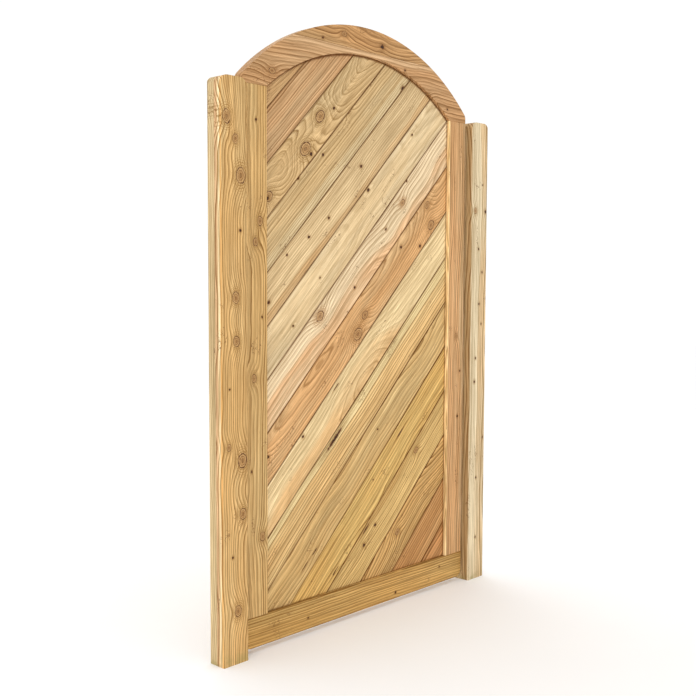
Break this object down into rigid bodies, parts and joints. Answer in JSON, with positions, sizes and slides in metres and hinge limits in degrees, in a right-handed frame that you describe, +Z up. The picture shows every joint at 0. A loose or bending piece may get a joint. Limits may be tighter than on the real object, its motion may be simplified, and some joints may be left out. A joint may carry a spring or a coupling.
{
  "type": "garden gate",
  "caption": "Arched wooden garden gate with diagonal board filling between two posts; the leaf swings to the back on lift-off hinges and a slide bolt locks it.",
  "frame": {"origin": "centre of the hinge post's foot, on the ground", "axes": "+X from the hinge post to the latch post, +Y to the back of the gate, +Z up"},
  "size_m": [1.192, 0.113, 1.815],
  "materials": {
    "post_larch": "planed, two glued plies, untreated",
    "frame_larch": "planed, untreated",
    "head_larch": "planed, untreated",
    "board_larch": "planed, untreated",
    "dowel_beech": "fluted-free smooth dowel",
    "galvanised_steel": "hot-dip galvanised, matt",
    "pin_steel": "ground",
    "bolt_steel": "galvanised, satin",
    "zinc_plated_steel": "bright zinc plating",
    "washer_brass": "turned"
  },
  "bodies": {
    "posts": {"hinge_post_front_ply": "post_larch", "hinge_post_back_ply": "post_larch", "latch_post_front_ply": "post_larch", "latch_post_back_ply": "post_larch", "upper_hinge_post_plate": "galvanised_steel", "upper_hinge_pin": "pin_steel", "upper_hinge_washer": "washer_brass", "lower_hinge_post_plate": "galvanised_steel", "lower_hinge_pin": "pin_steel", "lower_hinge_washer": "washer_brass", "hinge_post_screws": "zinc_plated_steel", "bolt_keeper": "galvanised_steel", "bolt_keeper_screws": "zinc_plated_steel"},
    "leaf": {"hinge_stile": "frame_larch", "latch_stile": "frame_larch", "bottom_rail": "frame_larch", "arch_head": "head_larch", "arch_cap": "head_larch", "board_01": "board_larch", "board_02": "board_larch", "board_03": "board_larch", "board_04": "board_larch", "board_05": "board_larch", "board_06": "board_larch", "board_07": "board_larch", "board_08": "board_larch", "board_09": "board_larch", "board_10": "board_larch", "board_11": "board_larch", "board_12": "board_larch", "board_13": "board_larch", "board_14": "board_larch", "board_15": "board_larch", "board_16": "board_larch", "frame_dowels": "dowel_beech", "upper_hinge_leaf_plate": "galvanised_steel", "lower_hinge_leaf_plate": "galvanised_steel", "hinge_leaf_screws": "zinc_plated_steel", "bolt_plate": "galvanised_steel", "bolt_plate_screws": "zinc_plated_steel"},
    "bolt": {"bolt_rod": "bolt_steel", "bolt_knob": "bolt_steel"}
  },
  "joints": [
    {"name": "leaf_swing", "type": "hinge", "parent": "posts", "child": "leaf", "pos_m": [0.048, 0.0385, 0.26], "axis": [0, 0, 1], "range_deg": [0, 150]},
    {"name": "bolt_slide", "type": "slide", "parent": "leaf", "child": "bolt", "axis": [1, 0, 0], "range_m": [0, 0.036]}
  ]
}
